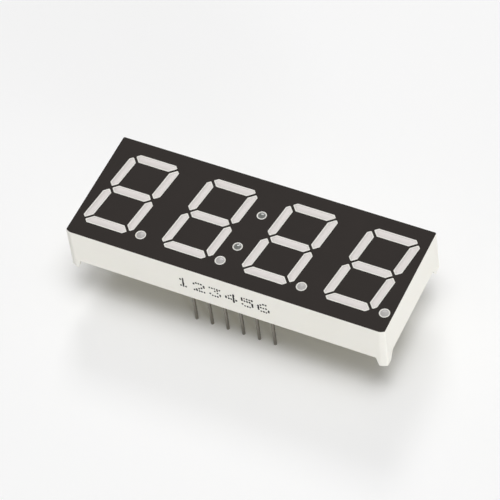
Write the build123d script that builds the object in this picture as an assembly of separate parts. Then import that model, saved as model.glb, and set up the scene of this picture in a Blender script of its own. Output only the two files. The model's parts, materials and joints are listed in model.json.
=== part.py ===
from build123d import *

import os
from math import radians, sqrt, tan

# Four-digit seven-segment display module with a colon, in millimetres.
# It stands on the tips of its pins at Z = 0, with the display face up.
# X runs along the row of digits to the right, and Y runs towards the top of a digit.
# The Z axis passes through the middle of the face.

# Housing
housing_length = 50.3
housing_width = 19.15
housing_depth = 8.0  # from the face to the bottom of the feet
wall_depth = 6.4  # from the face to the lower edge of the side walls
wall_thickness = 0.6  # round the open back
wall_draft = 0.7  # degrees, narrowing towards the face
corner_radius = 1.0  # of the upright corners, in plan
face_edge_chamfer = 0.1

# Feet, where the walls run on downwards at the four corners
foot_root_x = 1.65  # along the long walls, at the lower edge of the wall
foot_root_y = 2.3  # along the short walls
foot_tip_x = 1.2
foot_tip_y = 1.4
foot_root_radius = 0.6  # of the hollow curve into the short walls

# Printed face mask
mask_thickness = 0.05
mask_margin = 0.12  # white edge left between the print and the side wall
rim_width = 0.08  # white edge left between the print and the resin of a well

# Digits, given upright and then slanted
digit_pitch = 12.7
digit_count = 4
digit_height = 14.12
digit_width = 8.18
digit_slant = 7.55  # degrees
digit_rise = 0.155  # of the row of digits above the middle of the face
level_bar_width = 1.45
upright_bar_width = 1.35
joint_gap = 0.34  # across the slanting gap between two bars
corner_cut = 1.2  # taken off both sides of a digit's outer corners

# Decimal points and colon dots, in the upright frame of the digits
point_diameter = 1.6
point_gap = 0.61  # between a digit's right side and its point
point_drop = 0.07  # of a point's lower edge below the digit's base
colon_diameter = 1.5
colon_offset_y = 3.18

# Light wells, which taper from the face down to the board
board_depth = 4.0  # from the face to the top of the board
bar_side_taper = 0.3  # how far each long side of a bar's well comes in on the way down
bar_end_taper = 1.2  # how far each slanting end comes in

# Circuit board, with resin poured behind it to the lower edge of the walls
board_thickness = 1.0
board_clearance = 0.1  # all round, inside the walls

# Pins, in two rows with the first pin at the lower left of the face.
# A pin is round wire up to the resin and square inside it, so that it cannot turn.
pins_per_row = 6
pin_pitch = 2.54
row_spacing = 15.24
pin_diameter = 0.51
pin_length = 6.4  # below the feet
pin_hole_clearance = 0.05

# Light-emitting dice and their bond wires
die_size = 0.26
die_height = 0.18
wire_thickness = 0.05
wire_loop_height = 0.34
bar_wire_reach = 0.8
point_wire_reach = 0.34

# Levels
seating_level = pin_length
face_level = seating_level + housing_depth
housing_top = face_level - mask_thickness
wall_bottom = face_level - wall_depth
board_top = face_level - board_depth
board_bottom = board_top - board_thickness
seal_bottom = wall_bottom

# Plan sizes that follow
draft_inset = (housing_top - seating_level) * tan(radians(wall_draft))
face_length = housing_length - 2 * draft_inset
face_width = housing_width - 2 * draft_inset
face_corner_radius = corner_radius - draft_inset
recess_length = housing_length - 2 * wall_thickness
recess_width = housing_width - 2 * wall_thickness
recess_corner_radius = corner_radius - wall_thickness
board_length = recess_length - 2 * board_clearance
board_width = recess_width - 2 * board_clearance
board_corner_radius = recess_corner_radius - board_clearance
point_x = digit_width / 2 + point_gap + point_diameter / 2
point_y = point_diameter / 2 - point_drop - digit_height / 2
pin_shank = pin_diameter / sqrt(2)  # the largest square in the round wire

# Middle lines of the bars
node_x = (digit_width - upright_bar_width) / 2
node_y = (digit_height - level_bar_width) / 2


def on_face(x, y, digit_x=0.0):
    """Place an upright digit point on the slanted face."""
    return (digit_x + x + y * tan(radians(digit_slant)), y + digit_rise)


def mirrored(points, side_x, side_y):
    """Mirror outline points left to right, top to bottom, or both."""
    return [(side_x * x, side_y * y) for x, y in points]


def corner_end(end_inset, joint_side):
    """Tip at a digit's outer corner, where the joint line meets the corner cut.

    The joint runs at 45 degrees through the corner node. joint_side is -1 for the bar
    above the joint and +1 for the bar below it.
    """
    corner_sum = (digit_width + digit_height) / 2 - corner_cut - end_inset * sqrt(2)
    joint = node_x - node_y + joint_side * (joint_gap / 2 + end_inset) * sqrt(2)
    tip = ((corner_sum + joint) / 2, (corner_sum - joint) / 2)
    return corner_sum, joint, tip


def top_bar(side_inset, end_inset):
    """Outline of bar a, drawn in at its long sides and at its slanting ends."""
    corner_sum, joint, tip = corner_end(end_inset, -1)
    upper = digit_height / 2 - side_inset
    lower = digit_height / 2 - level_bar_width + side_inset
    right = [(corner_sum - upper, upper), tip, (lower + joint, lower)]
    left = mirrored(reversed(right), -1, 1)
    return right + left


def side_bar(side_inset, end_inset):
    """Outline of bar b, drawn in at its long sides and at its slanting ends."""
    corner_sum, joint, tip = corner_end(end_inset, 1)
    inner = digit_width / 2 - upright_bar_width + side_inset
    outer = digit_width / 2 - side_inset
    half_gap = (joint_gap / 2 + end_inset) * sqrt(2)
    return [
        (inner, inner - joint),
        tip,
        (outer, corner_sum - outer),
        (outer, outer - node_x + half_gap),
        (node_x, half_gap),
        (inner, node_x - inner + half_gap),
    ]


def middle_bar(side_inset, end_inset):
    """Outline of bar g, drawn in at its long sides and at its slanting ends."""
    half = level_bar_width / 2 - side_inset
    tip_x = node_x - (joint_gap / 2 + end_inset) * sqrt(2)
    right = [(tip_x - half, half), (tip_x, 0), (tip_x - half, -half)]
    left = mirrored(right, -1, -1)
    return right + left


# Each bar with its outline, its mirroring and whether it lies level
BARS = {
    "a": (top_bar, 1, 1, True),
    "b": (side_bar, 1, 1, False),
    "c": (side_bar, 1, -1, False),
    "d": (top_bar, 1, -1, True),
    "e": (side_bar, -1, -1, False),
    "f": (side_bar, -1, 1, False),
    "g": (middle_bar, 1, 1, True),
}


def bar_outline(letter, side_inset, end_inset):
    """Upright outline of one bar of a digit."""
    outline, side_x, side_y, _ = BARS[letter]
    return mirrored(outline(side_inset, end_inset), side_x, side_y)


def bar_corners(letter, digit_x, level, side_inset, end_inset):
    """Corners of a bar's slanted outline at a level."""
    outline = bar_outline(letter, side_inset, end_inset)
    return [(*on_face(x, y, digit_x), level) for x, y in outline]


def flat_walled(floor, mouth):
    """Solid with flat walls between two outlines whose sides run parallel."""
    walls = [
        Face(Wire.make_polygon([floor[i - 1], floor[i], mouth[i], mouth[i - 1]]))
        for i in range(len(mouth))
    ]
    ends = [Face(Wire.make_polygon(floor)), Face(Wire.make_polygon(mouth))]
    return Solid(Shell(walls + ends))


def disc(centre, diameter, level):
    """Flat round face at a level."""
    return Pos(centre[0], centre[1], level) * Circle(diameter / 2)


def post(centre, diameter, bottom, top):
    """Upright cylinder between two levels."""
    return extrude(disc(centre, diameter, bottom), top - bottom)


def square_post(centre, side, bottom, top):
    """Upright square bar between two levels."""
    return extrude(Pos(*centre, bottom) * Rectangle(side, side), top - bottom)


def plate(length, width, radius, bottom, thickness):
    """Flat plate with rounded corners."""
    return extrude(Pos(0, 0, bottom) * RectangleRounded(length, width, radius), thickness)


def digit_positions():
    """Middles of the digits along X."""
    return [(i - (digit_count - 1) / 2) * digit_pitch for i in range(digit_count)]


def pin_positions():
    """Pin middles, along the lower row to the right and back along the upper row."""
    row = [(i - (pins_per_row - 1) / 2) * pin_pitch for i in range(pins_per_row)]
    lower = [(x, -row_spacing / 2) for x in row]
    upper = [(x, row_spacing / 2) for x in reversed(row)]
    return lower + upper


def bar_well(letter, digit_x):
    """Tapered light well of a bar, from the board to the face."""
    floor_insets = (rim_width + bar_side_taper, rim_width + bar_end_taper)
    floor = bar_corners(letter, digit_x, board_top, *floor_insets)
    mouth = bar_corners(letter, digit_x, housing_top, rim_width, rim_width)
    return flat_walled(floor, mouth)


def bar_window(letter, digit_x):
    """Opening in the face mask over a bar's well."""
    corners = bar_corners(letter, digit_x, housing_top, 0, 0)
    return make_face(Polyline(*corners, close=True))


def round_well(centre, diameter):
    """Round light well, from the board to the face."""
    return post(centre, diameter - 2 * rim_width, board_top, housing_top)


def die_place(letter, digit_x):
    """Middle of a bar's well floor, which holds its die."""
    outline = bar_outline(letter, rim_width, rim_width)
    middle_x = (min(x for x, _ in outline) + max(x for x, _ in outline)) / 2
    middle_y = (min(y for _, y in outline) + max(y for _, y in outline)) / 2
    return on_face(middle_x, middle_y, digit_x)


def die(centre):
    """Light-emitting die on the board."""
    place = Pos(centre[0], centre[1], board_top)
    return place * Box(die_size, die_size, die_height, align=(Align.CENTER, Align.CENTER, Align.MIN))


def bond_wire(centre, reach, turn):
    """Bond wire that rises from the top of a die and slopes down to the board.

    The wire is a flat profile in the plane of its loop, given its thickness both ways.
    """
    half = wire_thickness / 2
    profile = [
        (-half, die_height),
        (-half, wire_loop_height),
        (reach + half, 0),
        (reach - half, 0),
        (half, wire_loop_height - 2 * wire_thickness),
        (half, die_height),
    ]
    flat = Plane.XZ * make_face(Polyline(*profile, close=True))
    wire = extrude(flat, half, both=True)
    return Pos(centre[0], centre[1], board_top) * Rot(0, 0, turn) * wire


def outer_block():
    """Drafted outside of the housing, down to the bottom of the feet."""
    bottom = Pos(0, 0, seating_level) * RectangleRounded(housing_length, housing_width, corner_radius)
    block = extrude(bottom, housing_top - seating_level, taper=wall_draft)
    rim = block.edges().group_by(Axis.Z)[-1]
    return chamfer(rim, face_edge_chamfer)


def foot_gap_x():
    """Space between the feet along the long walls."""
    root = housing_length / 2 - foot_root_x
    tip = housing_length / 2 - foot_tip_x
    side = [(root, wall_bottom), (tip, seating_level)]
    profile = Polyline(*side, *mirrored(reversed(side), -1, 1), close=True)
    return extrude(Plane.XZ * make_face(profile), housing_width, both=True)


def foot_gap_y():
    """Space between the feet along the short walls, with a hollow curve at each root."""
    root = housing_width / 2 - foot_root_y
    tip = housing_width / 2 - foot_tip_y
    side = [(root, wall_bottom), (tip, seating_level)]
    outline = Polyline(*side, *mirrored(reversed(side), -1, 1), close=True)
    profile = make_face(outline)
    roots = profile.vertices().group_by(Axis.Y)[-1]
    profile = fillet(roots, foot_root_radius)
    return extrude(Plane.YZ * profile, housing_length, both=True)


def reflector_housing(wells):
    """White moulding with the wells, the open back and the feet."""
    housing = outer_block() - foot_gap_x() - foot_gap_y()
    recess_height = board_top - seating_level
    recess = plate(recess_length, recess_width, recess_corner_radius, seating_level, recess_height)
    return housing - recess - wells


def face_mask(windows):
    """Printed layer on the face, open over every well."""
    length = face_length - 2 * mask_margin
    width = face_width - 2 * mask_margin
    radius = face_corner_radius - mask_margin
    layer = plate(length, width, radius, housing_top, mask_thickness)
    cutters = [extrude(window, mask_thickness) for window in windows]
    return layer - cutters


def circuit_board():
    """Board with a hole for every pin."""
    board = plate(board_length, board_width, board_corner_radius, board_bottom, board_thickness)
    diameter = pin_diameter + 2 * pin_hole_clearance
    return board - [post(centre, diameter, board_bottom, board_top) for centre in pin_positions()]


def back_seal():
    """Resin over the back of the board, closed round the pins."""
    thickness = board_bottom - seal_bottom
    layer = plate(recess_length, recess_width, recess_corner_radius, seal_bottom, thickness)
    return layer - [square_post(centre, pin_shank, seal_bottom, board_bottom) for centre in pin_positions()]


def pin(centre):
    """Round tail that stands out of the resin, under a square shank that ends level with the board."""
    tail = post(centre, pin_diameter, 0, seal_bottom)
    shank = square_post(centre, pin_shank, seal_bottom, board_top)
    return tail + shank


def write_node(name, shape):
    """Write one sub-part, or a group of separate solids, as a STEP file."""
    if isinstance(shape, list):
        shape = Compound([solid for piece in shape for solid in piece.solids()])
    shape.label = name
    export_step(shape, os.path.join("parts", name + ".step"))


def build():
    """Make every sub-part and write it."""
    wells = {}
    windows = []
    dice = []
    wires = []
    for number, digit_x in enumerate(digit_positions(), start=1):
        for letter in BARS:
            name = f"digit_{number}_segment_{letter}"
            centre = die_place(letter, digit_x)
            turn = 0 if BARS[letter][3] else 90 - digit_slant
            lamp = die(centre)
            wire = bond_wire(centre, bar_wire_reach, turn)
            wells[name] = (bar_well(letter, digit_x), [lamp, wire])
            windows.append(bar_window(letter, digit_x))
            dice.append(lamp)
            wires.append(wire)
        centre = on_face(point_x, point_y, digit_x)
        lamp = die(centre)
        wire = bond_wire(centre, point_wire_reach, 0)
        wells[f"digit_{number}_point"] = (round_well(centre, point_diameter), [lamp, wire])
        windows.append(disc(centre, point_diameter, housing_top))
        dice.append(lamp)
        wires.append(wire)
    for name, side in (("colon_upper", 1), ("colon_lower", -1)):
        centre = on_face(0, side * colon_offset_y)
        wells[name] = (round_well(centre, colon_diameter), [])
        windows.append(disc(centre, colon_diameter, housing_top))

    write_node("reflector_housing", reflector_housing([well for well, _ in wells.values()]))
    write_node("face_mask", face_mask(windows))
    for name, (well, inside) in wells.items():
        write_node(name, well - inside if inside else well)
    write_node("circuit_board", circuit_board())
    write_node("led_dice", dice)
    write_node("bond_wires", wires)
    write_node("back_seal", back_seal())
    for number, centre in enumerate(pin_positions(), start=1):
        write_node(f"pin_{number:02d}", pin(centre))


os.makedirs("parts", exist_ok=True)
build()
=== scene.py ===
# %% [markdown]
# # A four-digit seven-segment display
#
# The object is a small display module: a white moulded block with a black printed face,
# in which 28 bars, four points and a colon are windows filled with milky resin.
# It stands on two rows of tinned pins. The construction comes ready from the CAD frame.
# This lesson gives every surface its finish, and adds the small shapes that light plays on.

# %% Load the frame
import json

import bmesh
import bpy
import numpy as np
from mathutils import Matrix, Vector


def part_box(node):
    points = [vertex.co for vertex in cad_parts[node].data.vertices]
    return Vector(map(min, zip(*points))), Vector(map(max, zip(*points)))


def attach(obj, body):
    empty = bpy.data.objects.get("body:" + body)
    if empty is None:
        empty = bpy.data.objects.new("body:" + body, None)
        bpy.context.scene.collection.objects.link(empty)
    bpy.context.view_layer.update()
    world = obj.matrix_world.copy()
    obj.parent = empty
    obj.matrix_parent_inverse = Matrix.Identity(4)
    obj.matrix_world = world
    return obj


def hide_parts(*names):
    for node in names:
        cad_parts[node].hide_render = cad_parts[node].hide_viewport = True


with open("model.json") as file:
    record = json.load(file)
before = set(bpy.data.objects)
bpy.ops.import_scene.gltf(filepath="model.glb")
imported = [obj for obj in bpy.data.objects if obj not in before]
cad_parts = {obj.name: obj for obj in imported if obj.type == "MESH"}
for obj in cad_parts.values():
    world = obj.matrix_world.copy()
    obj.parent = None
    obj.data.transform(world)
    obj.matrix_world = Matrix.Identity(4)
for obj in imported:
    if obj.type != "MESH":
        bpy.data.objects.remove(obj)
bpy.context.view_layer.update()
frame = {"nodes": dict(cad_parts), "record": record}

# %% [markdown]
# ## Units and colours
#
# Blender's scene is in metres and the module is millimetres small, so lengths are written
# in millimetres and multiplied by MM. Colours are written as the hex values that a paint
# program shows. Blender's shaders want linear light, so one function converts them.

# %% Units and colour
MM = 0.001


def linear(hex_colour):
    """Turn an sRGB hex colour into the linear RGBA values that a shader socket takes.

    A channel c from 0 to 1 becomes c / 12.92 below 0.04045, and else
    ((c + 0.055) / 1.055) to the power 2.4.
    """
    channels = np.array([int(hex_colour[i : i + 2], 16) / 255 for i in (1, 3, 5)])
    light = np.where(channels <= 0.04045, channels / 12.92, ((channels + 0.055) / 1.055) ** 2.4)
    return (*light.tolist(), 1.0)


print("a paint program's middle grey is", round(linear("#808080")[0], 3), "in linear light")

# %% [markdown]
# A material is a small graph of nodes. Writing each node out takes many lines, so one
# function adds a node of any kind, sets its values and plugs in its links. The patterns
# below are noise: with a Scale of 1 over a length in metres, its blobs are about as wide
# as that length.

# %% Node helper
def add_node(tree, kind, settings=None, links=None, **attributes):
    """Add a node, set its attributes and input values, and link outputs of others into it."""
    node = tree.nodes.new(kind)
    for name, value in attributes.items():
        setattr(node, name, value)
    for name, value in (settings or {}).items():
        node.inputs[name].default_value = value
    for name, socket in (links or {}).items():
        tree.links.new(socket, node.inputs[name])
    return node


def new_material(name, viewport_hex):
    """Start an empty material, and return it with its tree and its Object coordinates."""
    material = bpy.data.materials.new(name)
    material.use_nodes = True
    material.diffuse_color = linear(viewport_hex)
    tree = material.node_tree
    tree.nodes.clear()
    return material, tree, add_node(tree, "ShaderNodeTexCoord").outputs["Object"]


# %% [markdown]
# ## The white moulding
#
# The housing is injection-moulded polycarbonate filled with titanium white, so that the
# light wells reflect. The mould was spark-eroded: the skin has a fine satin grain of
# about 0.05 mm, and a faint waviness a few millimetres long from shrinkage. The grain is
# drawn at 0.12 mm, because a finer one would vanish between the pixels. A little
# subsurface light softens the edges, as white plastic does.

# %% Moulded polycarbonate
GRAIN_SIZE = 0.12 * MM
SHRINK_WAVE = 6.0 * MM
CHALK_PATCH = 9.0 * MM


def moulded_polycarbonate():
    """Satin white moulding: two scales of noise bump under a soft rough gloss."""
    material, tree, place = new_material("moulded_white_polycarbonate", "#eceae4")
    chalk = add_node(
        tree, "ShaderNodeTexNoise", {"Scale": 1 / CHALK_PATCH, "Detail": 3.0}, {"Vector": place}
    )
    tint = add_node(
        tree,
        "ShaderNodeMix",
        {"A": linear("#f3f1ea"), "B": linear("#edebe2")},
        {"Factor": chalk.outputs["Fac"]},
        data_type="RGBA",
    )
    wave = add_node(
        tree, "ShaderNodeTexNoise", {"Scale": 1 / SHRINK_WAVE, "Detail": 1.0}, {"Vector": place}
    )
    coarse = add_node(
        tree,
        "ShaderNodeBump",
        {"Strength": 0.3, "Distance": 0.03 * MM},
        {"Height": wave.outputs["Fac"]},
    )
    grain = add_node(
        tree, "ShaderNodeTexNoise", {"Scale": 1 / GRAIN_SIZE, "Detail": 2.0}, {"Vector": place}
    )
    fine = add_node(
        tree,
        "ShaderNodeBump",
        {"Strength": 0.3, "Distance": 0.005 * MM},
        {"Height": grain.outputs["Fac"], "Normal": coarse.outputs["Normal"]},
    )
    plastic = add_node(
        tree,
        "ShaderNodeBsdfPrincipled",
        {
            "Roughness": 0.45,
            "IOR": 1.5,
            "Subsurface Weight": 0.12,
            "Subsurface Radius": (1.0, 0.9, 0.75),
            "Subsurface Scale": 0.3 * MM,
        },
        {"Base Color": tint.outputs["Result"], "Normal": fine.outputs["Normal"]},
    )
    add_node(tree, "ShaderNodeOutputMaterial", None, {"Surface": plastic.outputs["BSDF"]})
    return material


housing_plastic = moulded_polycarbonate()
print("made", housing_plastic.name)

# %% [markdown]
# ## The black face
#
# The face is screen-printed with a matt epoxy ink. Squeezed through a mesh of about
# 0.1 mm, it dries with a faint orange peel, and it is a warm black rather than a pure one.
# Little of the sky shows in it, so its specular level is low and its roughness high.

# %% Screen-printed ink
MESH_PITCH = 0.1 * MM
INK_PATCH = 4.0 * MM


def screen_printed_ink(name, light_hex, dark_hex):
    """Matt ink: a mottled near-black under a fine peel of noise bump."""
    material, tree, place = new_material(name, light_hex)
    patches = add_node(
        tree, "ShaderNodeTexNoise", {"Scale": 1 / INK_PATCH, "Detail": 4.0}, {"Vector": place}
    )
    tint = add_node(
        tree,
        "ShaderNodeMix",
        {"A": linear(dark_hex), "B": linear(light_hex)},
        {"Factor": patches.outputs["Fac"]},
        data_type="RGBA",
    )
    knots = add_node(
        tree, "ShaderNodeTexNoise", {"Scale": 1 / MESH_PITCH, "Detail": 2.0}, {"Vector": place}
    )
    peel = add_node(
        tree,
        "ShaderNodeBump",
        {"Strength": 0.3, "Distance": 0.004 * MM},
        {"Height": knots.outputs["Fac"]},
    )
    ink = add_node(
        tree,
        "ShaderNodeBsdfPrincipled",
        {"Roughness": 0.6, "Specular IOR Level": 0.15},
        {"Base Color": tint.outputs["Result"], "Normal": peel.outputs["Normal"]},
    )
    add_node(tree, "ShaderNodeOutputMaterial", None, {"Surface": ink.outputs["BSDF"]})
    return material


face_ink = screen_printed_ink("screen_printed_black_ink", "#251f1c", "#1f1a17")
jet_ink = screen_printed_ink("ink_jet_black", "#1c1b1b", "#141313")
print("made", face_ink.name, "and", jet_ink.name)

# %% [markdown]
# ## The resin in the windows
#
# Each window is filled with casting epoxy that holds a fine white diffuser. Over the
# deep middle of a well it looks pinkish grey, and near the white walls it brightens with
# the light that the walls send back through it: that light and the shade of the deep
# middle are painted into the resin's colour. How far in a point lies is stored on the new
# meshes as an attribute, 1 over the middle and 0 at the edge, because a shader cannot know
# how far a point is from the wall. A point's well is small and round, so less light comes
# back out of it than out of a bar, and that shade is painted into its darker colour.
# The resin of the colon covers a bare patch of board without a die, so it is darker still.

# %% Diffused epoxy
DIFFUSER_CLOUD = 0.5 * MM
# Name of the attribute that carries the painted shade of each well.
PAINTED_SHADE = "painted_well_shade"


def diffused_epoxy(name, deep_hex, wall_light_hex, roughness):
    """Milky resin: a ramp from painted wall light at the edge to the deep colour, under a smooth
    gloss.
    """
    material, tree, place = new_material(name, deep_hex)
    # Painted light: 0 at the well's edge gives the pale wall-lit colour, 1 gives the shaded deep
    # colour.
    painted_well_shade = add_node(tree, "ShaderNodeAttribute", attribute_name=PAINTED_SHADE).outputs["Fac"]
    blobs = add_node(
        tree, "ShaderNodeTexNoise", {"Scale": 1 / DIFFUSER_CLOUD, "Detail": 3.0}, {"Vector": place}
    )
    cloud = add_node(
        tree,
        "ShaderNodeMapRange",
        {"To Min": 0.88, "To Max": 1.12},
        {"Value": blobs.outputs["Fac"]},
    )
    shade = add_node(
        tree,
        "ShaderNodeMath",
        None,
        {0: painted_well_shade, 1: cloud.outputs["Result"]},
        operation="MULTIPLY",
        use_clamp=True,
    )
    tint = add_node(
        tree,
        "ShaderNodeMix",
        {"A": linear(wall_light_hex), "B": linear(deep_hex)},
        {"Factor": shade.outputs["Value"]},
        data_type="RGBA",
    )
    resin = add_node(
        tree,
        "ShaderNodeBsdfPrincipled",
        {
            "Roughness": roughness,
            "IOR": 1.52,
            "Subsurface Weight": 0.2,
            "Subsurface Radius": (1.0, 0.95, 0.9),
            "Subsurface Scale": 0.25 * MM,
        },
        {"Base Color": tint.outputs["Result"]},
    )
    add_node(tree, "ShaderNodeOutputMaterial", None, {"Surface": resin.outputs["BSDF"]})
    return material


# Each edge colour is painted light from the white walls. The points' darker deep colour is painted
# shade of their small wells.
segment_epoxy = diffused_epoxy("diffused_epoxy_in_bars", "#d8d2cf", "#eae7e4", 0.40)
point_epoxy = diffused_epoxy("diffused_epoxy_in_points", "#aba8a6", "#d6d3d0", 0.30)
colon_epoxy = diffused_epoxy("diffused_epoxy_over_board", "#676965", "#cfcecb", 0.10)
print("made", segment_epoxy.name, point_epoxy.name, "and", colon_epoxy.name)

# %% [markdown]
# ## Pins, board, dice and seal
#
# The pins are copper-clad steel wire, drawn through a die and then hot-dipped in tin.
# Drawing leaves streaks along the wire and dipping fills them again, so the metal is
# bright with soft streaks. The streaks are noise, as fine as STREAK_WIDTH across the wire
# and stretched along it to STREAK_LENGTH.

# %% Tinned wire
STREAK_WIDTH = 0.08 * MM
STREAK_LENGTH = 1.5 * MM


def tinned_wire():
    """Dipped tin: a grey metal with streaks along Z in its roughness and its bump."""
    material, tree, place = new_material("tinned_steel_wire", "#a8a59e")
    drawn = add_node(
        tree,
        "ShaderNodeMapping",
        {"Scale": (1.0, 1.0, STREAK_WIDTH / STREAK_LENGTH)},
        {"Vector": place},
    )
    streaks = add_node(
        tree,
        "ShaderNodeTexNoise",
        {"Scale": 1 / STREAK_WIDTH, "Detail": 2.0},
        {"Vector": drawn.outputs["Vector"]},
    )
    roughness = add_node(
        tree,
        "ShaderNodeMapRange",
        {"To Min": 0.16, "To Max": 0.34},
        {"Value": streaks.outputs["Fac"]},
    )
    bump = add_node(
        tree,
        "ShaderNodeBump",
        {"Strength": 0.3, "Distance": 0.004 * MM},
        {"Height": streaks.outputs["Fac"]},
    )
    tin = add_node(
        tree,
        "ShaderNodeBsdfPrincipled",
        {"Base Color": linear("#8d8982"), "Metallic": 1.0},
        {"Roughness": roughness.outputs["Result"], "Normal": bump.outputs["Normal"]},
    )
    add_node(tree, "ShaderNodeOutputMaterial", None, {"Surface": tin.outputs["BSDF"]})
    return material


pin_tin = tinned_wire()
print("made", pin_tin.name)

# %% [markdown]
# The back is closed with potting epoxy, poured in and cured face down. It is a little
# cloudy, and the amber of the board under it shows through.
# Its skin is glossy and a little wavy, because the resin creeps as it sets.
# The board under it is glass cloth in epoxy. The bands of a wave texture lie 0.314 of its
# size apart, so the threads are drawn 3.1 mm apart: the real ones are about 0.5 mm apart,
# too fine to show. The board and the dice are sealed in, so plain finishes are enough for
# them: they show only when the module is taken apart.

# %% Potting epoxy, laminate and sealed pieces
CREEP_WAVE = 3.5 * MM
WEAVE_SIZE = 10.0 * MM
MOTTLE = 0.15


def potting_epoxy():
    """Cloudy amber-grey glossy resin with slow waves."""
    material, tree, place = new_material("potting_epoxy", "#a49e80")
    clouds = add_node(
        tree, "ShaderNodeTexNoise", {"Scale": 1 / CREEP_WAVE, "Detail": 3.0}, {"Vector": place}
    )
    tint = add_node(
        tree,
        "ShaderNodeMix",
        {"A": linear("#aca688"), "B": linear("#979172")},
        {"Factor": clouds.outputs["Fac"]},
        data_type="RGBA",
    )
    creep = add_node(
        tree, "ShaderNodeTexNoise", {"Scale": 1 / CREEP_WAVE, "Detail": 1.0}, {"Vector": place}
    )
    waves = add_node(
        tree,
        "ShaderNodeBump",
        {"Strength": 0.5, "Distance": 0.06 * MM},
        {"Height": creep.outputs["Fac"]},
    )
    resin = add_node(
        tree,
        "ShaderNodeBsdfPrincipled",
        {
            "Roughness": 0.16,
            "IOR": 1.52,
            "Subsurface Weight": 0.25,
            "Subsurface Radius": (1.0, 0.9, 0.7),
            "Subsurface Scale": 0.6 * MM,
        },
        {"Base Color": tint.outputs["Result"], "Normal": waves.outputs["Normal"]},
    )
    add_node(tree, "ShaderNodeOutputMaterial", None, {"Surface": resin.outputs["BSDF"]})
    return material


def glass_laminate():
    """Glass cloth in epoxy: two crossed sets of threads lighten an amber base."""
    material, tree, place = new_material("glass_epoxy_laminate", "#a89f63")
    threads = [
        add_node(
            tree,
            "ShaderNodeTexWave",
            {"Scale": 1 / WEAVE_SIZE, "Distortion": 0.4},
            {"Vector": place},
            bands_direction=axis,
        ).outputs["Fac"]
        for axis in ("X", "Y")
    ]
    weave = add_node(tree, "ShaderNodeMath", None, dict(enumerate(threads)), operation="MAXIMUM")
    tint = add_node(
        tree,
        "ShaderNodeMix",
        {"A": linear("#8f8750"), "B": linear("#b3aa70")},
        {"Factor": weave.outputs["Value"]},
        data_type="RGBA",
    )
    laminate = add_node(
        tree,
        "ShaderNodeBsdfPrincipled",
        {"Roughness": 0.45},
        {"Base Color": tint.outputs["Result"]},
    )
    add_node(tree, "ShaderNodeOutputMaterial", None, {"Surface": laminate.outputs["BSDF"]})
    return material


def sealed_finish(name, hex_colour, metallic, roughness):
    """Finish of a small sealed-in piece: one colour, slightly mottled in its roughness."""
    material, tree, place = new_material(name, hex_colour)
    specks = add_node(
        tree, "ShaderNodeTexNoise", {"Scale": 1 / STREAK_WIDTH, "Detail": 2.0}, {"Vector": place}
    )
    mottle = add_node(
        tree,
        "ShaderNodeMapRange",
        {"To Min": roughness, "To Max": roughness + MOTTLE},
        {"Value": specks.outputs["Fac"]},
    )
    shader = add_node(
        tree,
        "ShaderNodeBsdfPrincipled",
        {"Base Color": linear(hex_colour), "Metallic": metallic},
        {"Roughness": mottle.outputs["Result"]},
    )
    add_node(tree, "ShaderNodeOutputMaterial", None, {"Surface": shader.outputs["BSDF"]})
    return material


back_epoxy = potting_epoxy()
board_laminate = glass_laminate()
die_crystal = sealed_finish("sawn_semiconductor", "#40383a", 0.0, 0.2)
gold_wire = sealed_finish("drawn_gold_wire", "#e0b04a", 1.0, 0.25)
print("made", back_epoxy.name, board_laminate.name, die_crystal.name, "and", gold_wire.name)

# %% [markdown]
# Each CAD node already has a material slot. The slot names in the record say what a node
# is made of, so one table from slot to material dresses all 52 nodes in a loop.

# %% Dress the CAD nodes
FINISHES = {
    "housing": housing_plastic,
    "mask": face_ink,
    "segment_resin": segment_epoxy,
    "colon_resin": colon_epoxy,
    "board": board_laminate,
    "die": die_crystal,
    "bond_wire": gold_wire,
    "seal": back_epoxy,
    "pin": pin_tin,
}
node_slots = {part["node"]: part["material_slot"] for part in frame["record"]["subparts"]}
for node_name, slot_name in node_slots.items():
    slots = frame["nodes"][node_name].data.materials
    slots.clear()
    slots.append(FINISHES[slot_name])
print("dressed", len(node_slots), "nodes in", len(FINISHES), "finishes")

# %% [markdown]
# ## From arrays to a mesh
#
# Every new piece below is a set of points worked out with numpy, joined into faces by a
# rule. Points that form a grid of rows and columns make four-sided faces between
# neighbours. A row here goes once round its piece, so the last column joins the first,
# and in a tube that is bent into a ring the last row joins the first as well. The points
# and the values that shape them are in millimetres until make_piece turns them to metres.

# %% Mesh helpers
def ring_faces(rows, columns):
    """Four-sided faces between neighbouring rings of a grid that closes round its columns.

    Face (r, c) joins the points (r, c), (r, c + 1), (r + 1, c + 1) and (r + 1, c), with
    c + 1 taken modulo the number of columns.
    """
    row, column = np.meshgrid(np.arange(rows - 1), np.arange(columns), indexing="ij")
    after = (column + 1) % columns
    corners = (row * columns + column, row * columns + after)
    corners += ((row + 1) * columns + after, (row + 1) * columns + column)
    return np.stack(corners, axis=-1).reshape(-1, 4)


def tube_faces(rows, columns):
    """Faces of a grid that closes both ways: one row more, which is the first row again."""
    return ring_faces(rows + 1, columns) % (rows * columns)


def at_level(plan, level):
    """Points (x, y, level) over the points (x, y) of a plan.

    The level is a single one for all of them, or a column with one for each row.
    """
    level = np.broadcast_to(level, plan.shape[:-1])
    return np.concatenate((plan, level[..., None]), axis=-1)


def new_object(name, data):
    """Make an object of a mesh, curve, lamp or camera, and put it in the scene."""
    thing = bpy.data.objects.new(name, data)
    bpy.context.scene.collection.objects.link(thing)
    return thing


def make_piece(name, points, faces, material, smooth=True):
    """Make a mesh object from points in millimetres, let it ride on the module, and return it."""
    mesh = bpy.data.meshes.new(name)
    mesh.from_pydata((np.asarray(points) * MM).tolist(), [], faces)
    mesh.polygons.foreach_set("use_smooth", np.full(len(mesh.polygons), smooth))
    mesh.materials.append(material)
    mesh.update()
    piece = new_object(name, mesh)
    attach(piece, "root")
    return piece


print("faces between two rings of three points:", ring_faces(2, 3).tolist())

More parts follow.
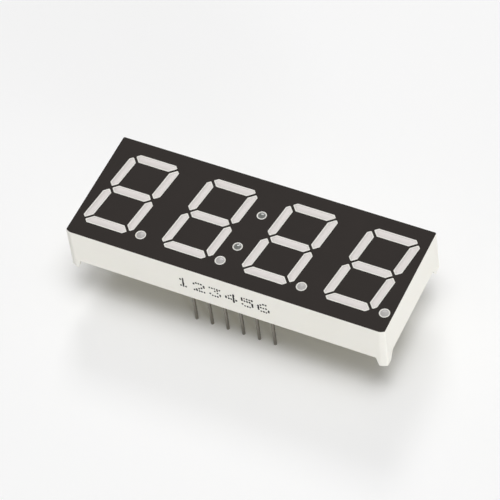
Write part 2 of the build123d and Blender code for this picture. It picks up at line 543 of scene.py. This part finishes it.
# %% [markdown]
# ## Window outlines
#
# The light wells are flat-walled in the CAD model, with sharp corners. The cutter that
# made the real mould left small radii, and the print over it has them too. The outline
# of each well is read from the top face of its resin slug, and then given round corners.

# %% Outlines from the frame
SEGMENTS = [f"digit_{digit}_segment_{letter}" for digit in range(1, 5) for letter in "abcdefg"]
POINTS = [f"digit_{digit}_point" for digit in range(1, 5)]
COLON = ["colon_upper", "colon_lower"]
LEVEL_TOLERANCE = 0.001
ARC_STEPS = 6


def unit(angle):
    """Unit vectors at the given angles: (cos a, sin a)."""
    return np.stack((np.cos(angle), np.sin(angle)), axis=-1)


def node_points(node):
    """All corners of a CAD node's mesh, in millimetres."""
    mesh = frame["nodes"][node].data
    points = np.empty(3 * len(mesh.vertices), np.float32)
    mesh.vertices.foreach_get("co", points)
    return points.reshape(-1, 3).astype(float) / MM


def top_outline(node):
    """Corners of a node's top face, sorted by their angle round its middle.

    Faces don't share their points in a CAD mesh, so a corner comes several times over.
    Rounding to a thousandth of a millimetre makes its copies equal, and one is kept.
    """
    points = node_points(node)
    on_top = points[points[:, 2] > points[:, 2].max() - LEVEL_TOLERANCE, :2]
    corners = np.unique(on_top.round(3), axis=0)
    spokes = corners - corners.mean(axis=0)
    return corners[np.argsort(np.arctan2(spokes[:, 1], spokes[:, 0]))]


def rounded(outline, inset, radius):
    """An outline drawn in by inset, with its corners rounded.

    The arc of a corner has its centre where the two sides, drawn in by inset + radius,
    meet: outline - (inset + radius) / cos(turn / 2) along the bisector of the outward
    normals. Its points are centre + radius (cos a, sin a), with a going from the normal
    of the side before to that of the side after.
    """
    side = np.roll(outline, -1, axis=0) - outline
    normal = np.arctan2(-side[:, 0], side[:, 1])
    before = np.roll(normal, 1)
    turn = (normal - before + np.pi) % (2 * np.pi) - np.pi
    reach = (inset + radius) / np.cos(turn / 2)
    centre = outline - reach[:, None] * unit(before + turn / 2)
    angle = before[:, None] + turn[:, None] * np.linspace(0, 1, ARC_STEPS)
    return (centre[:, None] + radius * unit(angle)).reshape(-1, 2)


wells = {node: top_outline(node) for node in SEGMENTS + POINTS + COLON}
print("read", len(wells), "outlines; a bar has", len(wells[SEGMENTS[0]]), "corners")

# %% [markdown]
# ## The shape of a corner
#
# Seen closely, the near wall of the module curves in as it comes to a corner, and the
# short wall cuts the curve off in a crisp edge. The far corners are crisp from both sides.
# The CAD model has plain arcs there. The profiles below are corners in plan, in units of
# the CAD arc's radius and from its middle. Coming from the long wall, a profile follows
# the arc for a turn in degrees, which is zero at the far corners, and then leaves it on a
# straight line to the edge.

# %% Corner profile
NEAR_TURN = 25
FAR_TURN = 0
EDGE_RADIUS = 0.25
PROFILE_STEPS = 6


def corner_profile(turn_degrees):
    """Points of a corner, from (1, 0) on the short wall to (0, 1) on the long wall.

    The line that touches the arc at (sin t, cos t) meets the short wall, x = 1, at
    y = cos t - (1 - sin t) tan t. The edge there turns by 90 degrees - t, so the small arc
    that blunts it, with radius r, has its middle at (1 - r, y - r tan((90 degrees - t) / 2)).
    """
    t, r = np.radians(turn_degrees), EDGE_RADIUS
    edge_turn = np.pi / 2 - t
    y = np.cos(t) - (1 - np.sin(t)) * np.tan(t)
    middle = np.array((1 - r, y - r * np.tan(edge_turn / 2)))
    small_arc = middle + r * unit(np.linspace(0, edge_turn, PROFILE_STEPS))
    large_arc = unit(np.linspace(edge_turn, np.pi / 2, PROFILE_STEPS if t > 0 else 1))
    return np.concatenate(([(1.0, 0.0)], small_arc, large_arc))


near_profile = corner_profile(NEAR_TURN)
far_profile = corner_profile(FAR_TURN)
print("corner profiles:", len(near_profile), "and", len(far_profile), "points")

# %% [markdown]
# ## The printed mask
#
# The black layer is one flat sheet with 34 windows. A two-dimensional curve fills itself
# between its outer line and its holes, so the windows need no cutting: the outline and
# the holes are splines of one curve, given the ink's thickness and turned into a mesh.
# Points that fall together are welded, which closes it. It stands for the CAD mask, whose
# windows have sharp corners and which leaves a white edge of 0.12 mm round the face. This
# print runs out by MASK_SPREAD and leaves half of that.

# %% Mask with rounded windows
RIM_WIDTH = 0.08
WINDOW_RADIUS = 0.16
CAD_CORNER_RADIUS = 1.0
MASK_SPREAD = 0.06
WELD_DISTANCE = 0.001

mask_low, mask_high = np.array(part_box("face_mask")) / MM
face_level = mask_high[2]
housing_top = mask_low[2]
housing_low, housing_high = np.array(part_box("reflector_housing")) / MM
arc_middle = housing_high[:2] - CAD_CORNER_RADIUS


def face_outline(half_length):
    """Outline of the face at a half length: two corner profiles and their mirror images.

    A corner's points are arc middle + radius times its profile, with the radius that takes
    the outline out to the half length.
    """
    radius = half_length - arc_middle[0]
    far = arc_middle + radius * far_profile
    near = arc_middle + radius * near_profile
    return np.concatenate((far, far[::-1] * (-1, 1), -near, near[::-1] * (1, -1)))


def add_outline(curve, outline):
    """Add a closed straight-sided spline through the outline's points."""
    spline = curve.splines.new("POLY")
    spline.points.add(len(outline) - 1)
    flat = np.zeros((len(outline), 4))
    flat[:, :2] = outline * MM
    flat[:, 3] = 1
    spline.points.foreach_set("co", flat.ravel())
    spline.use_cyclic_u = True


def printed_mask():
    """Ink layer between the face's outline and the windows, as thick as in the frame."""
    curve = bpy.data.curves.new("printed_mask", "CURVE")
    curve.dimensions = "2D"
    curve.fill_mode = "BOTH"
    curve.extrude = (face_level - housing_top) * MM / 2
    add_outline(curve, face_outline(mask_high[0] + MASK_SPREAD))
    for well in wells.values():
        add_outline(curve, rounded(well, -RIM_WIDTH, WINDOW_RADIUS))
    flat = new_object("flat_mask", curve)
    mesh = bpy.data.meshes.new_from_object(flat)
    bpy.data.objects.remove(flat)
    mesh.transform(Matrix.Translation((0, 0, (face_level + housing_top) / 2 * MM)))
    shell = bmesh.new()
    shell.from_mesh(mesh)
    bmesh.ops.remove_doubles(shell, verts=shell.verts, dist=WELD_DISTANCE * MM)
    shell.to_mesh(mesh)
    shell.free()
    mesh.materials.clear()
    mesh.materials.append(face_ink)
    piece = new_object("printed_mask", mesh)
    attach(piece, "root")
    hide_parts("face_mask")
    return piece


mask = printed_mask()
print("mask:", len(mask.data.polygons), "faces")

# %% [markdown]
# ## White rims
#
# Between the print and the resin, the top of each well's wall stays bare: a thin white
# line round every window, slightly rounded by the polish of the mould. A half-round
# profile carried along the rounded outline makes it, and closes the corner that the
# sharp CAD well leaves open.

# %% Rims
RESIN_INSET = 0.08
RESIN_RADIUS = 0.10
RIM_STEPS = 7
RIM_HEIGHT = 0.035
RIM_ROOT = 0.03


def well_rims():
    """One mesh of bead-shaped rims, each a grid of profile steps by outline points.

    The point at step s from 0 to 1 lies between the resin's outline and the window's,
    at inner + s (outer - inner), and stands RIM_HEIGHT sin(pi s) above the housing. Two
    more rings, RIM_ROOT below the surface, close the bead underneath.
    """
    step = np.linspace(0, 1, RIM_STEPS)[:, None]
    all_points, all_faces, count = [], [], 0
    for well in wells.values():
        inner = rounded(well, RESIN_INSET, RESIN_RADIUS)
        outer = rounded(well, -RIM_WIDTH, WINDOW_RADIUS)
        plan = inner + step[:, :, None] * (outer - inner)
        bead = at_level(plan, housing_top + RIM_HEIGHT * np.sin(np.pi * step))
        root = at_level(np.stack((plan[-1], plan[0])), housing_top - RIM_ROOT)
        rings = np.concatenate((bead, root))
        all_faces += (tube_faces(len(rings), len(inner))[:, ::-1] + count).tolist()
        all_points.append(rings.reshape(-1, 3))
        count += len(all_points[-1])
    points = np.concatenate(all_points)
    return make_piece("well_rims", points, all_faces, housing_plastic)


rims = well_rims()
print("rims:", len(rims.data.polygons), "faces")

# %% [markdown]
# ## Crowned resin
#
# Epoxy pulls itself into a low dome as it sets, and that dome is why each dot in the face
# shows a light side, a dark side and a small bright glint. The dome of a bar is not a
# dome round one point: it is ridged, like a loaf. So every outline point gets its own
# foot on the bar's middle line, and the surface rises from the outline to that foot.

# %% Resin crowns
BAR_RISE = 0.085
DOT_RISE = 0.08
CROWN_RINGS = 12
CROWN_START = 0.12
CROWN_ROOT = 0.05
RESIN_EDGE = 0.005
# How far the painted light of the white wall reaches into the resin, in millimetres.
PAINTED_LIGHT_REACH = 0.10


def middle_line(outline):
    """Middle of an outline, its long direction, and half the length of its straight ridge.

    The direction is the one in which the outline's points spread most: the first
    principal axis. The ridge is half the length less half the width.
    """
    middle = (outline.max(axis=0) + outline.min(axis=0)) / 2
    spread = outline - outline.mean(axis=0)
    along = np.linalg.svd(spread, full_matrices=False)[2][0]
    across = np.array([-along[1], along[0]])
    reach = np.ptp(spread @ along) / 2 - np.ptp(spread @ across) / 2
    return middle, along, max(reach, 0.0)


def resin_crown(node, rise, material):
    """Dome over one window: rings that shrink from the outline to its middle line.

    A ring at share t, from CROWN_START to 1, has the points foot + t (outline - foot) and
    stands RESIN_EDGE + rise (1 - t squared) above the housing. The flat cap inside the
    first ring is one face, and a ring CROWN_ROOT below the housing's top closes the piece
    inside the CAD slug. The painted shade grows from 0 at the outline, where the walls'
    light is painted, to 1 at the painted light's reach inside it.
    """
    outline = rounded(wells[node], RESIN_INSET, RESIN_RADIUS)
    middle, along, reach = middle_line(outline)
    foot = middle + np.clip((outline - middle) @ along, -reach, reach)[:, None] * along
    share = np.linspace(CROWN_START, 1, CROWN_RINGS)[:, None]
    plan = foot + share[:, :, None] * (outline - foot)
    rings = at_level(plan, housing_top + RESIN_EDGE + rise * (1 - share**2))
    root = at_level(outline, housing_top - CROWN_ROOT)
    points = np.concatenate((rings.reshape(-1, 3), root))
    columns = len(outline)
    faces = ring_faces(CROWN_RINGS + 1, columns)[:, ::-1].tolist()
    faces += [list(range(columns)), list(range(len(points) - 1, len(points) - columns - 1, -1))]
    piece = make_piece(node + "_crown", points, faces, material)
    # Painted shade: 0 at the outline, where the resin takes the painted wall light, rising to 1
    # further in.
    from_edge = (1 - share) * np.linalg.norm(outline - foot, axis=1)
    painted_well_shade = np.append(np.clip(from_edge / PAINTED_LIGHT_REACH, 0, 1).ravel(), np.zeros(columns))
    attribute = piece.data.attributes.new(PAINTED_SHADE, "FLOAT", "POINT")
    attribute.data.foreach_set("value", painted_well_shade.astype(np.float32))


for name in SEGMENTS:
    resin_crown(name, BAR_RISE, segment_epoxy)
for name in POINTS:
    resin_crown(name, DOT_RISE, point_epoxy)
for name in COLON:
    resin_crown(name, DOT_RISE, colon_epoxy)
print("crowned", len(wells), "windows")

# %% [markdown]
# ## Numbers on the side wall
#
# An ink-jet coder prints on the side of such modules as they pass: every character is a
# pattern of small dots, five columns by seven rows. Here the dots write plain pin numbers,
# one over each pin of the near row. A dot is a flat ten-sided disc, drawn out a little
# upright because the drops land in rows, and all dots are worked out together: every
# disc point is a dot's middle plus one of ten directions.

# %% Ink-jet dots
DOT_ROWS = {
    1: "00100 01100 00100 00100 00100 00100 01110",
    2: "01110 10001 00001 00010 00100 01000 11111",
    3: "11111 00010 00100 00010 00001 10001 01110",
    4: "00010 00110 01010 10010 11111 00010 00010",
    5: "11111 10000 11110 00001 00001 10001 01110",
    6: "00110 01000 10000 11110 10001 10001 01110",
}
COLUMN_PITCH = 0.40
ROW_PITCH = 0.28
MIDDLE_COLUMN = 2
MIDDLE_ROW = 3
DOT_REACH_X = 0.15
DOT_REACH_Z = 0.185
DOT_SIDES = 10
DROP_SCATTER = 0.012
DROP_SPREAD = 0.07
DROP_SEED = 6
INK_THICKNESS = 0.012
INK_SINK = 0.004
PRINT_LEVEL = 11.1
WALL_DRAFT = np.radians(0.7)


def round_directions(sides):
    """Unit vectors spread evenly round a circle."""
    return unit(np.arange(sides) * 2 * np.pi / sides)


def near_wall_y(level):
    """Y of the near wall's outside at a level: it leans in by the mould's draft."""
    return housing_low[1] + (level - housing_low[2]) * np.tan(WALL_DRAFT)


def ink_numbers():
    """All ink dots of the six numbers as one mesh of short discs that follow the wall.

    A disc's points are the dot's middle + spread (reach x cos a, reach z sin a). One layer
    of them lies INK_SINK inside the wall, and the other INK_THICKNESS outside it.
    """
    spots = []
    for number, rows in DOT_ROWS.items():
        grid = np.array([[int(bit) for bit in row] for row in rows.split()])
        row, column = np.nonzero(grid)
        low, high = np.array(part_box(f"pin_{number:02d}")) / MM
        x = (low[0] + high[0]) / 2 + (column - MIDDLE_COLUMN) * COLUMN_PITCH
        z = PRINT_LEVEL + (MIDDLE_ROW - row) * ROW_PITCH
        spots.append(np.stack((x, z), axis=1))
    spots = np.concatenate(spots)
    jitter = np.random.default_rng(DROP_SEED).normal(0, 1, (len(spots), 3))
    spots += jitter[:, :2] * DROP_SCATTER
    spread = 1 + DROP_SPREAD * jitter[:, 2, None, None]
    drop = round_directions(DOT_SIDES) * (DOT_REACH_X, DOT_REACH_Z)
    discs = spots[:, None] + spread * drop
    x, z = discs[:, :, 0], discs[:, :, 1]
    wall = near_wall_y(z)
    layers = [np.stack((x, y, z), axis=-1) for y in (wall + INK_SINK, wall - INK_THICKNESS)]
    points = np.stack(layers, axis=1).reshape(-1, 3)
    side = ring_faces(2, DOT_SIDES)
    faces = []
    for start in range(0, len(points), 2 * DOT_SIDES):
        faces += (side + start).tolist()
        faces.append(list(range(start + DOT_SIDES - 1, start - 1, -1)))
        faces.append(list(range(start + DOT_SIDES, start + 2 * DOT_SIDES)))
    return make_piece("pin_numbers", points, faces, jet_ink, smooth=False)


numbers = ink_numbers()
print("numbers:", len(numbers.data.vertices) // (2 * DOT_SIDES), "ink dots")

# %% [markdown]
# ## Crisp upright corners
#
# The frame's own mesh is never changed, so the round corners aren't cut anew but filled: a
# slim bar of the same plastic stands at each one, between the CAD arc and the profile. It
# carries on the short wall, with the same draft, and its back is hidden in the housing.

# %% Corner bars
FACE_CHAMFER = 0.1
LEVEL_GAP = 0.002


def corner_bars():
    """Four bars, each a stack of rings from the foot to the edge of the face.

    A ring is the corner profile up to the start of its large arc, times the radius of the
    CAD arc at its level: that is less by (level - foot) tan(draft), and by the chamfer at
    the top. A bar that is mirrored once has its faces turned round, so that they still
    face outwards.
    """
    foot = housing_low[2] + LEVEL_GAP
    top = housing_top - LEVEL_GAP
    levels = ((foot, 0), (top - FACE_CHAMFER, 0), (top, FACE_CHAMFER))
    columns = PROFILE_STEPS + 2
    count = len(levels) * columns
    sides = ring_faces(len(levels), columns).tolist()
    caps = [list(range(columns - 1, -1, -1)), list(range(count - columns, count))]
    all_points, all_faces = [], []
    for flip_x, flip_y in ((1, 1), (-1, 1), (-1, -1), (1, -1)):
        plan = (far_profile if flip_y > 0 else near_profile)[:columns]
        order = flip_x * flip_y
        first = count * len(all_points)
        all_faces += [[first + corner for corner in face[::order]] for face in sides + caps]
        rings = []
        for level, chamfer in levels:
            radius = CAD_CORNER_RADIUS - (level - foot) * np.tan(WALL_DRAFT) - chamfer
            rings.append(at_level((arc_middle + radius * plan) * (flip_x, flip_y), level))
        all_points.append(np.concatenate(rings))
    points = np.concatenate(all_points)
    return make_piece("corner_bars", points, all_faces, housing_plastic, smooth=False)


corners = corner_bars()
print("corner bars:", len(corners.data.polygons), "faces")

# %% [markdown]
# ## Resin collars round the pins
#
# The potting epoxy wets the tinned wire and climbs it a little. Each collar is a profile
# turned round its pin: a hollow curve that starts steep at the wire and runs out flat on
# the seal. The surface is a grid again, of profile steps by directions round the pin.

# %% Collars
COLLAR_REACH = 0.42
COLLAR_CLIMB = 0.30
COLLAR_STEPS = 7
COLLAR_SIDES = 28
COLLAR_SINK = 0.03

PINS = [f"pin_{number:02d}" for number in range(1, 13)]
seal_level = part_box("back_seal")[0][2] / MM


def resin_collars():
    """Twelve hollow-curved collars as one mesh.

    At share s from 0 at the wire to 1 at the outer edge, the radius is wire + reach s and
    the surface hangs climb (1 - s) squared below the seal. The profile is closed by one
    ring sunk in the seal at each end, and its inner edge lies a little inside the wire.
    """
    share = np.linspace(0, 1, COLLAR_STEPS)
    turn = round_directions(COLLAR_SIDES)
    drop = np.concatenate((COLLAR_CLIMB * (1 - share) ** 2, [-COLLAR_SINK, -COLLAR_SINK]))
    level = (seal_level - drop)[:, None]
    faces = tube_faces(len(drop), COLLAR_SIDES)
    all_points, all_faces = [], []
    for name in PINS:
        low, high = np.array(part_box(name)) / MM
        centre = (low[:2] + high[:2]) / 2
        wire = (high[0] - low[0]) / 2 - COLLAR_SINK
        radius = np.concatenate((wire + COLLAR_REACH * share, [wire + COLLAR_REACH, wire]))
        plan = centre + radius[:, None, None] * turn
        all_faces += (faces + len(all_points) * level.size * COLLAR_SIDES).tolist()
        all_points.append(at_level(plan, level).reshape(-1, 3))
    return make_piece("resin_collars", np.concatenate(all_points), all_faces, back_epoxy)


collars = resin_collars()
print("collars:", len(collars.data.polygons), "faces")

# %% [markdown]
# ## Floor
#
# The module stands on a plain white sheet of matt paper, so large that its edge never
# shows. The tooth of real paper is about 0.2 mm wide. It is drawn at 0.6 mm, a few pixels.

# %% Floor
FLOOR_HALF = 1500.0
PAPER_TOOTH = 0.6 * MM


def paper_floor():
    """Matt white sheet under the module, with a faint tooth of noise bump."""
    material, tree, place = new_material("matt_white_sheet", "#f7f7f7")
    fibres = add_node(
        tree, "ShaderNodeTexNoise", {"Scale": 1 / PAPER_TOOTH, "Detail": 2.0}, {"Vector": place}
    )
    tooth = add_node(
        tree,
        "ShaderNodeBump",
        {"Strength": 0.1, "Distance": 0.01 * MM},
        {"Height": fibres.outputs["Fac"]},
    )
    sheet = add_node(
        tree,
        "ShaderNodeBsdfPrincipled",
        {"Base Color": linear("#fcfcfc"), "Roughness": 0.9, "Specular IOR Level": 0.1},
        {"Normal": tooth.outputs["Normal"]},
    )
    add_node(tree, "ShaderNodeOutputMaterial", None, {"Surface": sheet.outputs["BSDF"]})
    corners = np.array([(-1, -1), (1, -1), (1, 1), (-1, 1)]) * FLOOR_HALF * MM
    mesh = bpy.data.meshes.new("floor")
    mesh.from_pydata([(x, y, 0.0) for x, y in corners.tolist()], [], [(0, 1, 2, 3)])
    mesh.materials.append(material)
    floor = new_object("floor", mesh)
    return floor


floor = paper_floor()
print("floor:", [round(side, 2) for side in floor.dimensions[:2]], "m")

# %% [markdown]
# ## Sky and lamps
#
# The sky lights the module evenly, and a large lamp almost overhead gives the soft shadow
# that is darkest right under the block. A low lamp in front fills the two walls, and a
# smaller one behind gives the domes their glints. Together they light a flat white surface
# at about full white, so a colour shows as it is written. The camera, mirrors and glass
# see a white sky, and the dimmer sky that lights the object leaves room for the lamps.

# %% Sky and lamps
SKY_LIGHT = 0.27
LAMP_DISTANCE = 1500.0
LAMPS = {
    "overhead_lamp": {"azimuth": 120, "elevation": 80, "size": 800, "share": 0.56},
    "front_lamp": {"azimuth": 130, "elevation": 6.5, "size": 300, "share": 0.042},
    "back_lamp": {"azimuth": -23, "elevation": 43, "size": 380, "share": 0.13},
}


def white_sky():
    """World that is SKY_LIGHT bright to surfaces and white to the camera and reflections."""
    world = bpy.data.worlds.new("white_sky")
    world.use_nodes = True
    tree = world.node_tree
    tree.nodes.clear()
    path = add_node(tree, "ShaderNodeLightPath")
    seen = path.outputs["Is Camera Ray"]
    for ray in ("Is Glossy Ray", "Is Transmission Ray"):
        either = {0: seen, 1: path.outputs[ray]}
        seen = add_node(tree, "ShaderNodeMath", None, either, operation="MAXIMUM").outputs["Value"]
    strength = add_node(
        tree, "ShaderNodeMapRange", {"To Min": SKY_LIGHT, "To Max": 1.0}, {"Value": seen}
    )
    sky = add_node(
        tree,
        "ShaderNodeBackground",
        {"Color": (1, 1, 1, 1)},
        {"Strength": strength.outputs["Result"]},
    )
    add_node(tree, "ShaderNodeOutputWorld", None, {"Surface": sky.outputs["Background"]})
    bpy.context.scene.world = world


def sky_direction(azimuth, elevation):
    """Unit vector (sin a cos e, cos a cos e, sin e), with the azimuth a from +Y towards +X."""
    a, e = np.radians((azimuth, elevation))
    return Vector((np.sin(a) * np.cos(e), np.cos(a) * np.cos(e), np.sin(e)))


def studio_lamp(name, azimuth, elevation, size, share):
    """Square soft lamp that faces the module and gives the floor a share of full white.

    A lamp of power P at distance d lights the floor with P sin(elevation) / (pi d squared),
    and full white takes pi, so P = share pi squared d squared / sin(elevation).
    """
    distance = LAMP_DISTANCE * MM
    light = bpy.data.lights.new(name, "AREA")
    light.shape = "SQUARE"
    light.size = size * MM
    light.energy = share * np.pi**2 * distance**2 / np.sin(np.radians(elevation))
    lamp = new_object(name, light)
    towards = sky_direction(azimuth, elevation)
    lamp.location = towards * distance
    lamp.rotation_euler = towards.to_track_quat("Z", "Y").to_euler()
    return lamp


white_sky()
for lamp_name, setting in LAMPS.items():
    lamp = studio_lamp(lamp_name, **setting)
    place = [round(value, 3) for value in lamp.location]
    print(lamp.name, "of", round(lamp.data.energy, 2), "W at", place)

# %% [markdown]
# ## Camera
#
# The camera was worked out from the corners of the black face. It looks down from the
# front right, rolled so that the row of digits runs downhill, through a long lens: that
# is why the far edge is hardly shorter than the near one.

# %% Camera
CAMERA_AZIMUTH = 31.77
CAMERA_ELEVATION = 51.96
CAMERA_ROLL = -8.375
CAMERA_DISTANCE = 366.1
AIM_X, AIM_Y = 1.51, -2.97
LENS_MM = 185.48
SENSOR_MM = 36.0


def photo_camera():
    """Camera at an azimuth from the front, an elevation and a roll, aimed at the face."""
    data = bpy.data.cameras.new("camera")
    data.lens = LENS_MM
    data.sensor_width = SENSOR_MM
    camera = new_object("camera", data)
    azimuth, tilt, roll = np.radians((CAMERA_AZIMUTH, 90 - CAMERA_ELEVATION, CAMERA_ROLL))
    aimed = Matrix.Rotation(azimuth, 4, "Z") @ Matrix.Rotation(tilt, 4, "X")
    turn = aimed @ Matrix.Rotation(roll, 4, "Z")
    aim = Vector((AIM_X, AIM_Y, face_level)) * MM
    back = (turn @ Vector((0, 0, 1, 0))).to_3d()
    camera.matrix_world = Matrix.Translation(aim + back * CAMERA_DISTANCE * MM) @ turn
    bpy.context.scene.camera = camera
    return camera


camera = photo_camera()
bpy.context.scene.view_settings.view_transform = "Standard"
print("camera at", [round(value, 4) for value in camera.location])
